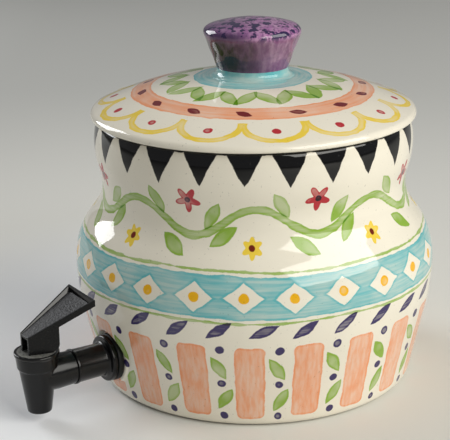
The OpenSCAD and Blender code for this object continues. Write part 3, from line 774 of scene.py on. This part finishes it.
def makeCrock():
    s, w = crockShape, seatWindow
    columns, wall, cells = s["columns"], s["wall"], w["cells"]
    outline = [(r, 0.0) for r in s["baseRows"]]
    outline += arcPoints(s["base"], s["heel"], s["heel"], -90, -20, 7)
    outerRow = len(outline)
    heights = [w["outerLow"] + w["outerStep"] * k for k in range(cells + 1)]
    start, step, count = s["outsideRows"]
    heights += [start + step * k for k in range(count)]
    outline += [(wallRadius(z, 0.0), z) for z in heights]
    outline += arcPoints(*s["lip"], s["lipStart"], 180, 10)
    lipRow = len(outline) - 5  # plain glaze from the top of the lip inwards
    start, step, count = s["insideRows"]
    outline += [(wallRadius(z, wall), z) for z in [start + step * k for k in range(count)]]
    innerRow = len(outline)
    heights = [w["innerTop"] - (w["innerTop"] - w["innerLow"]) * k / cells for k in range(cells + 1)]
    outline += [(wallRadius(z, wall), z) for z in heights + [s["floor"] + 1.0, s["floor"]]]
    outline += [(r, s["floor"]) for r in s["floorRows"]]
    run = runLengths(outline)
    total = run[-1] * 1.04

    skin = Skin()
    points = skin.points
    rows = skin.turn(crockAxis, outline, columns, handThrown)
    first = columns // 2 - cells // 2
    for i in range(len(outline) - 1):
        index = 2 if i < s["bareRows"] else 0 if i < lipRow else 1
        windowed = outerRow <= i < outerRow + cells or innerRow <= i < innerRow + cells
        for j in range(columns):
            if not (windowed and first <= j < first + cells):
                skin.quad(rows[i], rows[i + 1], j, index, run[i] / total, run[i + 1] / total)

    # the window round the tap: rings from the hole to the wall's own grid
    path = [(0, c) for c in range(cells)] + [(k, cells) for k in range(cells)]
    path += [(cells, c) for c in range(cells, 0, -1)] + [(k, 0) for k in range(cells, 0, -1)]
    guide = [points[rows[outerRow + k][first + c]] for k, c in path]
    aim = [math.atan2(z - tapShape["height"], x) for x, y, z in guide]
    sides = ((0, 0.0, tapShape["seat"], outerRow, 1), (1, wall, tapShape["inner"], innerRow + cells, -1))
    holes = []
    for side, inset, seat, base, turn in sides:
        end = base + turn * cells
        border = [rows[base + turn * k][first + c] for k, c in path]
        rings = []

        def onWall(x, z):
            return -math.sqrt(wallRadius(z, inset) ** 2 - x * x)

        def spot(v):
            x, y, z = points[v]
            share = (z - outline[base][1]) / (outline[end][1] - outline[base][1])
            return (0.5 + math.atan2(x, -y) / fullTurn, (run[base] + share * (run[end] - run[base])) / total)

        for rho in w["rings"]:
            blend = smoothed(rho, *w["flat"])
            ease = -turn * w["ease"] * (1 - smoothed(rho, *w["eased"]))
            places = [(rho * math.cos(t), tapShape["height"] + rho * math.sin(t)) for t in aim]
            rings.append([skin.put((x, -seat * (1 - blend) + onWall(x, z) * blend - ease, z)) for x, z in places])
        pairs = [(points[v], points[b]) for v, b in zip(rings[-1], border)]
        for part in w["outside"]:
            places = [[p[c] * (1 - part) + q[c] * part for c in (0, 2)] for p, q in pairs]
            rings.append([skin.put((x, onWall(x, z), z)) for x, z in places])
        rings.append(border)
        for near, far in zip(rings, rings[1:]):
            for k in range(len(path)):
                n = (k + 1) % len(path)
                loop = [near[k], near[n], far[n], far[k]]
                skin.face(loop, side, [spot(v) for v in loop])
        holes.append(rings[0])
    for k in range(len(path)):
        skin.quad(*holes, k, 1, 0.97, 0.995, 0.2)
    return skin.finish("crockShell", ["body", "plain", "clay"], 40)


fitted(makeCrock(), "crock", "body_glaze", "crock_foot", "crock_belly", "crock_neck")
print("crock shell made")


# Lid and knob

lidShape = {
    "under": 186.7, "dome": (-65.561, 280.0), "thick": 7.0, "edge": (108.5, 188.0, 4.2),
    "arris": (111.083, 188.3, 1.6), "ring": (93.37, 99.87, 177.7), "seat": 104.0, "inside": 85.0,
}


def domeHeight(r, drop=0.0):
    centre, curve = lidShape["dome"]
    return centre + math.sqrt((curve - drop) ** 2 - r * r)


def makeLid():
    s = lidShape
    edgeX, edgeZ, edgeR = s["edge"]
    meet = math.degrees(math.atan2(edgeZ - s["dome"][0], edgeX))
    join = math.degrees(math.atan2(s["arris"][1] - edgeZ, s["arris"][0] - edgeX))
    domeEnd = edgeX * s["dome"][1] / (s["dome"][1] - edgeR)
    outline = [(domeEnd * k / 36, domeHeight(domeEnd * k / 36)) for k in range(36)]
    outline += arcPoints(edgeX, edgeZ, edgeR, meet, join, 9)
    outline += arcPoints(*s["arris"], join, -90, 6)[1:]
    turn = len(outline) - 1
    inner, outer, low = s["ring"]
    outline += softOutline([
        (s["seat"], s["under"], 0), (outer, s["under"], 1.4), (outer, low, 1.6), (inner, low, 1.6),
        (inner, domeHeight(inner, s["thick"]), 3.0), (60.0, domeHeight(60.0, s["thick"]), 0)], 5)[:-1]
    spans = [s["inside"] * (1 - k / 12) for k in range(12)] + [0.0]
    outline += [(r, domeHeight(r, s["thick"])) for r in spans]
    return turnedPiece("domedLid", crockAxis, outline, 224, ["lid", "plain"],
                       lambda i: 0 if i < turn else 1, sharp=40)


knobShape = {
    "edge": (29.2, 242.839, 4.6), "lean": 21.42, "top": 251.839, "crown": 103.69,
    "fillet": (29.150, 217.793, 4.5), "toe": 264.1,
}


def lumpy(a, r, h):
    # small hollows left by the fingers, inwards only
    away = smoothed(h, 220.0, 227.0) * smoothed(r, 4.0, 14.0)
    return 0.5 * away * (0.5 + 0.25 * math.sin(5 * a + h / 3) + 0.25 * math.sin(7 * a - h / 2.2 + 1))


def makeKnob():
    s = knobShape
    x, z, r = s["edge"]
    lean = math.radians(s["lean"])
    side = (x + r * math.cos(lean), z - r * math.sin(lean))
    outline = [(q, domeHeight(q) + 0.06) for q in (0.0, 10.0, 20.0)]
    outline += arcPoints(*s["fillet"], s["toe"], 180 - s["lean"], 12)
    outline[3:3] = [(outline[3][0] + 0.25, domeHeight(outline[3][0] + 0.25) + 0.05)]
    skirt = len(outline) - 2  # the fillet is glazed with the lid
    rise = Vector(outline[-1])
    outline += [tuple(rise.lerp(Vector(side), k / 9)) for k in range(1, 9)]
    low = s["top"] - s["crown"]
    outline += arcPoints(x, z, r, -s["lean"], math.degrees(math.atan2(z - low, x)), 10)
    end = outline[-1][0]
    for q in [end * (1 - k / 11) for k in range(1, 11)] + [0.0]:
        outline.append((q, low + math.sqrt(s["crown"] ** 2 - q * q)))
    return turnedPiece("flaredKnob", crockAxis, outline, 144, ["knob", "lid"],
                       lambda i: 1 if 2 < i < skirt else 0, sharp=50, flow=lumpy)


fitted(makeLid(), "lid", "lid_glaze", "lid")
fitted(makeKnob(), "lid", "knob_glaze", "lid_knob")
print("lid and knob made")


# Tap

shankShape = {
    "tail": 92.6687, "flange": 121.9687, "mouth": 149.9687, "socket": 136.9687, "way": 5.4, "thread": 7.8,
    "pitch": 1.8, "root": 0.7, "flangeR": 15.9, "flangeT": 4.2, "round": 1.2, "fillet": 2.2, "neck": 11.2,
    "sleeve": 11.6, "lip": 0.5, "lipW": 1.6, "socketR": 9.2,
}


def makeShank():
    s = shankShape
    face = s["flange"] + s["flangeT"]
    rim = s["flangeR"] - s["round"]
    valley, crest = s["thread"] - s["root"], s["thread"] - 0.05
    outline = [(s["way"], s["socket"]), (s["way"], s["tail"] + 0.4), (s["way"] + 0.4, s["tail"])]
    u = s["tail"]
    while u + s["pitch"] < s["flange"] - 5.0:
        outline += [(valley, u), (valley, u + 0.4), (crest, u + 0.8), (crest, u + 1.1)]
        u += s["pitch"]
    outline += [(valley, u), (s["thread"], u + 0.8), (s["thread"], s["flange"])]
    outline += arcPoints(rim, s["flange"] + s["round"], s["round"], -90, 0, 5)
    outline += arcPoints(rim, face - s["round"], s["round"], 0, 90, 6)
    outline += arcPoints(s["neck"] + s["fillet"], face + s["fillet"], s["fillet"], -90, -180, 7)
    lipU = s["mouth"] - s["lipW"]
    outline += [(s["neck"] + 0.1, face + 7.0), (s["sleeve"], lipU - 0.5), (s["sleeve"] + 0.1, lipU - 0.1)]
    outline += softOutline([
        (s["sleeve"], lipU, 0), (s["sleeve"] + s["lip"], lipU, 0.25), (s["sleeve"] + s["lip"], s["mouth"], 0.45),
        (s["socketR"], s["mouth"], 0.4), (s["socketR"], s["socket"], 0)], 3)[1:]
    return turnedPiece("tapShank", shankAxis, outline, 96, ["satin"], ring=True, sharp=38)


washerShape = {
    # bore, radius, the two ends along the shank, eased edge
    "outerWasher": (7.95, 16.3, 117.9687, 121.9687, 0.9),
    "innerWasher": (7.95, 14.5, 105.4687, 107.9687, 0.7),
    "slipWasher": (7.95, 13.5, 104.4687, 105.4687, 0.3),
}


def makeWasher(name, finish):
    bore, r, low, high, ease = washerShape[name]
    outline = softOutline([(bore, low, ease * 0.5), (r, low, ease), (r, high, ease), (bore, high, ease * 0.5)], 4)
    return turnedPiece(name, shankAxis, outline, 96, [finish], ring=True, sharp=50)


bonnetShape = {
    "top": 50.3, "rim": 47.9, "r": 15.2, "round": 1.3, "plug": 10.1, "low": 42.1, "pocket": 6.0, "roof": 46.9,
    "bore": 2.9, "dish": (2.1, 1.7, 0.12),  # shallow step inside the rim
}


def makeBonnet():
    s = bonnetShape
    inside, outside, sunk = s["dish"]
    outline = softOutline([
        (s["bore"], s["roof"], 0), (s["bore"], s["top"], 0.35), (s["r"] - inside, s["top"] - sunk, 0.3),
        (s["r"] - outside, s["top"], 0.2), (s["r"], s["top"], s["round"]), (s["r"], s["rim"], 0.8),
        (s["plug"], s["rim"], 0.3), (s["plug"], s["low"], 0.5), (s["pocket"], s["low"], 0.3),
        (s["pocket"], s["roof"], 0.3)], 4)

    # the top inside the rim takes the plastic painted lighter, for the light falling on it
    def choose(i):
        r, h = outline[i]
        return 1 if h > s["top"] - 0.2 and s["bore"] + 0.2 < r < s["r"] - 2.2 else 0
    return turnedPiece("tapBonnet", stemAxis, outline, 112, ["tap", "litTop"], choose, ring=True, sharp=38)


bodyShape = {
    "tip": 7.4, "tipR": 8.1, "collar": 38.2, "bodyR": 12.4, "collarLow": 13.5, "collarR": 14.3, "top": 47.9,
    "outlet": 5.6, "seat": 24.0, "cone": 1.6, "chamber": 9.2, "plug": 10.25, "plugZ": 41.1,
    "stub": 11.3, "stubRoot": 11.9, "stubEnd": 174.0, "spigot": 9.1, "spigotU": 137.9687, "mouth": 149.9687,
    "chamfer": 0.4, "inlet": 6.0, "inletEnd": 170.0, "groove": (143.4687, 0.95, 7.45),
}


def carve(piece, tool, operation):
    change = piece.modifiers.new(operation.lower(), "BOOLEAN")
    change.operation = operation
    change.object = tool
    change.solver = "EXACT"
    made = bpy.data.meshes.new_from_object(piece.evaluated_get(bpy.context.evaluated_depsgraph_get()))
    piece.modifiers.clear()
    old, spare = piece.data, tool.data
    piece.data = made
    bpy.data.objects.remove(tool)
    for mesh in (old, spare):
        bpy.data.meshes.remove(mesh)


def dropMaps(mesh):
    for layer in list(mesh.uv_layers):
        mesh.uv_layers.remove(layer)


def easeEdges(mesh, width, least, steps=2):
    # welds, clears the flat facets and rounds the edges sharper than least
    solid = bmesh.new()
    solid.from_mesh(mesh)
    bmesh.ops.remove_doubles(solid, verts=solid.verts, dist=2e-6)
    bmesh.ops.dissolve_limit(solid, angle_limit=math.radians(0.3), verts=solid.verts, edges=solid.edges)
    least = math.radians(least)
    edges = [e for e in solid.edges if len(e.link_faces) == 2 and e.calc_face_angle(0.0) > least]
    bmesh.ops.bevel(solid, geom=edges, offset=width * mm, offset_type="OFFSET", segments=steps, profile=0.5,
                    affect="EDGES", clamp_overlap=False)
    bmesh.ops.recalc_face_normals(solid, faces=solid.faces)
    solid.to_mesh(mesh)
    solid.free()
    mesh.shade_smooth()
    mesh.set_sharp_from_angle(angle=math.radians(50))
    mesh.update()


def weighNormals(piece):
    change = piece.modifiers.new("faceNormals", "WEIGHTED_NORMAL")
    change.keep_sharp = True
    change.weight = 80


def makeTapBody():
    s = bodyShape
    spigot, start, mouth, nick = s["spigot"], s["spigotU"], s["mouth"] + 0.02, s["chamfer"]
    middle, half, floor = s["groove"]
    low, high = s["tip"] - 1, s["top"] + 1
    spout = turnedPiece("tapBody", stemAxis, softOutline([
        (0.0, s["tip"], 0), (s["tipR"], s["tip"], 0.8), (s["bodyR"], s["collar"], 0.5),
        (s["collarLow"], s["collar"] + 1.0, 0.6), (s["collarR"], s["top"], 0.3), (0.0, s["top"], 0)], 4),
        96, ["satin"])
    tools = (
        ("UNION", shankAxis, 96, [
            (0.0, start), (spigot - nick, start), (spigot, start + nick), (spigot, middle - half),
            (floor, middle - half), (floor, middle + half), (spigot, middle + half), (spigot, mouth),
            (s["stub"] - nick, mouth), (s["stub"], s["mouth"] + nick),
            (s["stubRoot"], tapShape["stem"] - s["bodyR"]), (s["stub"], s["stubEnd"]), (0.0, s["stubEnd"])]),
        ("DIFFERENCE", stemAxis, 80, [
            (0.0, low), (s["outlet"], low), (s["outlet"], s["seat"] - s["cone"]),
            (s["outlet"] + s["cone"], s["seat"]), (s["chamber"], s["seat"]), (s["chamber"], s["plugZ"]),
            (s["plug"], s["plugZ"]), (s["plug"], high), (0.0, high)]),
        ("DIFFERENCE", shankAxis, 64, [
            (0.0, start - 1), (s["inlet"], start - 1), (s["inlet"], s["inletEnd"]), (0.0, s["inletEnd"])]))
    for operation, axis, columns, outline in tools:
        carve(spout, turnedPiece("tapTool", axis, outline, columns, ["satin"]), operation)
    dropMaps(spout.data)
    easeEdges(spout.data, 0.3, 30.0)
    weighNormals(spout)
    return spout


def nodeCopy(node, name, finish):
    # a copy of a CAD node's mesh in one finish; the node's own mesh stays as it is
    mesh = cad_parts[node].data.copy()
    mesh.name = name
    dress(mesh, finish)
    mesh.shade_smooth()
    return mesh


def easedCopy(node, name, finish, width, least, steps, shape=None):
    mesh = nodeCopy(node, name, finish)
    dropMaps(mesh)
    if shape:
        for vertex in mesh.vertices:
            shape(vertex.co)
    easeEdges(mesh, width, least, steps)
    piece = placed(name, mesh)
    weighNormals(piece)
    return piece


stemShape = {
    "r": 2.6, "low": 26.0, "top": 60.25, "foot": 3.6, "footTop": 27.4, "collar": 5.2, "cup": 30.2, "collarTop": 31.6,
}


def makeStem():
    s = stemShape
    outline = softOutline([
        (0.0, s["low"], 0), (s["foot"], s["low"], 0.3), (s["foot"], s["footTop"], 0.3), (s["r"], s["footTop"], 0.1),
        (s["r"], s["cup"], 0.1), (s["collar"], s["cup"], 0.25), (s["collar"], s["collarTop"], 0.3),
        (s["r"], s["collarTop"], 0.2), (s["r"], s["top"], 1.0), (0.0, s["top"], 0)], 3)
    return turnedPiece("valveStem", stemAxis, outline, 48, ["white"], sharp=38)


cupShape = {
    "nose": 21.57, "noseR": 4.6, "r": 7.6, "top": 30.2, "bore": 2.6, "foot": 3.6, "footLow": 26.0, "footTop": 27.4,
    "chamfer": 1.0,
}


def makeCup():
    s = cupShape
    outline = softOutline([
        (0.0, s["nose"], 0), (s["noseR"], s["nose"], 0.5), (s["r"], s["nose"] + s["r"] - s["noseR"], 0.5),
        (s["r"], s["top"] - s["chamfer"], 0.4), (s["r"] - s["chamfer"], s["top"], 0.4), (s["bore"], s["top"], 0.1),
        (s["bore"], s["footTop"], 0), (s["foot"], s["footTop"], 0), (s["foot"], s["footLow"], 0),
        (0.0, s["footLow"], 0)], 3)
    return turnedPiece("seatCup", stemAxis, outline, 64, ["silicone"], sharp=38)


leverShape = {
    "front": 8.2, "frontZ": 62.8, "rear": 35.5, "slope": math.radians(25.5), "sinkFront": 0.5, "sinkRear": 3.0,
    "frontW": 6.0, "rearW": 18.5, "rim": 1.4, "draft": 0.66, "endDraft": 0.2, "edge": 0.16,
}


def sunkenPlace(point):
    # where a point is on the lever: distance behind the stem, depth below the paddle's rim,
    # and there the paddle's sunken depth and half width
    s = leverShape
    v = point.y / mm + tapShape["stem"]
    depth = s["frontZ"] + (v + s["front"]) * math.tan(s["slope"]) - point.z / mm
    share = (v + s["front"]) / (s["rear"] + s["front"])
    floor = s["sinkFront"] + (s["sinkRear"] - s["sinkFront"]) * share
    half = s["frontW"] + (s["rearW"] - s["frontW"]) * share
    return v, depth, floor, half


def draftPaddle(point):
    # leans the walls of the sunken paddle outwards, as they leave the mould
    s = leverShape
    v, depth, floor, half = sunkenPlace(point)
    x = abs(point.x) / mm
    if abs(depth - floor) > 0.05 or x > half - s["rim"] + 0.1:
        return
    if x > half - s["rim"] - 0.1:
        point.x -= math.copysign(depth * s["draft"] * mm, point.x)
    if v > s["rear"] - s["rim"] - 0.1:
        fall = math.tan(s["slope"]) - (s["sinkRear"] - s["sinkFront"]) / (s["rear"] + s["front"])
        point.y -= depth * s["endDraft"] * mm
        point.z -= depth * s["endDraft"] * fall * mm


def makeLever():
    s = leverShape
    piece = easedCopy("lever", "tapLever", "matt", s["edge"], 17.0, 3, draftPaddle)
    dress(piece.data, "matt", "stipple", "wornRim", "tap")
    up = Vector((0.0, -math.sin(s["slope"]), math.cos(s["slope"])))
    for face in piece.data.polygons:
        v, depth, floor, half = sunkenPlace(face.center)
        facing = face.normal.dot(up)
        inside = abs(face.center.x) / mm < half - s["rim"] + 0.2 and v < s["rear"] - 0.5
        if facing > 0.985 and depth > 0.25 and face.area > 2e-6:
            face.material_index = 1  # the paddle's floor
        elif depth < 0.2 and facing > 0.3:
            face.material_index = 2  # its rim
        elif depth < floor + 0.1 and inside:
            face.material_index = 3  # its smooth walls
    return piece


def makePin():
    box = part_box("lever_pin")
    half, r = box[1].x / mm, (box[1].z - box[0].z) / mm / 2
    height = (box[1].z + box[0].z) / mm / 2
    corners = [(0.0, -half, 0), (r, -half, 0.2), (r, half, 0.2), (0.0, half, 0)]

    def pinAxis(q, h, a):
        return (h, -tapShape["stem"] + q * math.cos(a), height + q * math.sin(a))
    return turnedPiece("leverPin", pinAxis, softOutline(corners, 3), 32, ["steel"], sharp=38)


def makeSpring():
    # a copy of the coil as it stands at rest; nothing here shortens it as the stem lifts
    piece = placed("stemSpring", nodeCopy("stem_spring", "stemSpring", "steel"))
    fitted(piece, "crock", "spring_steel", "stem_spring")
    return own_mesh(piece)


fitted(makeShank(), "crock", "tap_plastic", "tap_shank")
fitted(makeTapBody(), "crock", "tap_plastic", "tap_body")
fitted(makeBonnet(), "crock", "tap_plastic", "bonnet")
fitted(makeWasher("outerWasher", "rubber"), "crock", "black_rubber", "outer_washer")
fitted(makeWasher("innerWasher", "rubber"), "crock", "black_rubber", "inner_washer")
fitted(makeWasher("slipWasher", "white"), "crock", "white_plastic", "slip_washer")
fitted(easedCopy("lock_nut", "lockNut", "tap", 0.4, 24.0, 2), "crock", "tap_plastic", "lock_nut")
fitted(makeStem(), "stem", "white_plastic", "valve_stem")
fitted(makeCup(), "stem", "silicone", "seat_cup")
fitted(makePin(), "stem", "spring_steel", "lever_pin")
fitted(makeLever(), "lever", "tap_plastic", "lever")
makeSpring()
dress(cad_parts["shank_o_ring"].data, "rubber")
print("tap pieces made")


# Floor, light and camera

stageSet = {
    # the floor's colours paint light and shade on it: paler near the crock, a pool of cool light on one near side,
    # shade slanting across the far floor
    "size": 7.0, "sides": 64, "rings": 12, "near": srgb(220, 219, 213), "far": srgb(187, 187, 183),
    "start": 0.2, "end": 1.0, "paintedLightPool": srgb(238, 240, 243), "paintedSideShade": 0.42, "paintedSideShadeEnd": 0.35,
    "roughness": 0.7, "gloss": 0.2, "drop": 0.0002,
}


def makeFloor():
    s = stageSet
    material, shader, place = newFinish("paleFloor")
    x, y = place.parts()[:2]
    reach = spread(x, y)
    away = reach.soft(s["start"], s["end"])
    side = shadeSide(x, y)
    cloud = noise(place, 1.2, 2.0)
    # painted light: paler near the crock, darker far away
    tint = blendColour(away, s["near"], s["far"])
    # a painted pool of cool light on the near floor, on the side that gets less light
    tint = blendColour(side.soft(0.02, 0.14) * reach.soft(0.4, 0.17), tint, s["paintedLightPool"])
    # painted shade across the far floor: darker on the side that gets less light, lighter on the other
    paintedSideShade = away * side.high(-s["paintedSideShadeEnd"]).low(s["paintedSideShadeEnd"]) * s["paintedSideShade"]
    feed(shader.inputs["Base Color"], toned(tint, 0.97 + cloud * 0.06 - paintedSideShade))
    feed(shader.inputs["Roughness"], s["roughness"])
    feed(shader.inputs["Specular IOR Level"], s["gloss"])
    finishes["floor"] = material
    outline = [(s["size"] / mm * (i / s["rings"]) ** 2, 0.0) for i in range(s["rings"] + 1)]
    floor = turnedPiece("studioFloor", crockAxis, outline, s["sides"], ["floor"])
    floor.location.z = -s["drop"]


lightSet = {
    # angle from the tap's side towards +X and rise in degrees, distance, size, power and colour
    "leftBox": (-72.0, 24.0, 2.2, 0.9, 1.25, 24.0, (0.97, 0.985, 1.0)),
    "rightBox": (112.0, 31.0, 2.4, 2.6, 1.45, 62.0, (0.965, 0.945, 0.885)),
    "overhead": (40.0, 82.0, 2.0, 1.8, 1.8, 2.0, (1.0, 1.0, 1.0)),
}
worldSet = {"light": (0.21, 0.21, 0.212, 1.0)}


def makeLights():
    aim = Vector((0.0, 0.0, 0.12))
    for name, (azimuth, rise, away, wide, tall, power, colour) in lightSet.items():
        lamp = bpy.data.lights.new(name, "AREA")
        lamp.shape = "RECTANGLE"
        lamp.size, lamp.size_y = wide, tall
        lamp.energy = power
        lamp.color = colour
        a, e = math.radians(azimuth), math.radians(rise)
        towards = Vector((math.sin(a) * math.cos(e), -math.cos(a) * math.cos(e), math.sin(e)))
        holder = placed(name, lamp)
        holder.location = aim + towards * away
        holder.rotation_euler = (-towards).to_track_quat("-Z", "Y").to_euler()
    world = bpy.data.worlds.new("studioWorld")
    world.use_nodes = True
    scene.world = world
    world.node_tree.nodes["Background"].inputs["Color"].default_value = worldSet["light"]


cameraSet = {
    "at": (0.78129, -0.53697, 0.41891), "aim": (-0.01311, -0.01598, 0.10665), "roll": -0.8576,
    "lens": 112.0, "sensor": 36.0,
}


def makeCamera():
    s = cameraSet
    camera = bpy.data.cameras.new("photoCamera")
    camera.lens = s["lens"]
    camera.sensor_width = s["sensor"]
    holder = placed("photoCamera", camera)
    at = Vector(s["at"])
    ahead = (Vector(s["aim"]) - at).normalized()
    level = ahead.cross(Vector((0, 0, 1))).normalized()
    upright = level.cross(ahead)
    roll = math.radians(s["roll"])
    right = level * math.cos(roll) + upright * math.sin(roll)
    up = upright * math.cos(roll) - level * math.sin(roll)
    holder.matrix_world = Matrix.Translation(at) @ Matrix((right, up, -ahead)).transposed().to_4x4()
    scene.camera = holder


makeFloor()
makeLights()
makeCamera()
print("floor, lights and camera set")
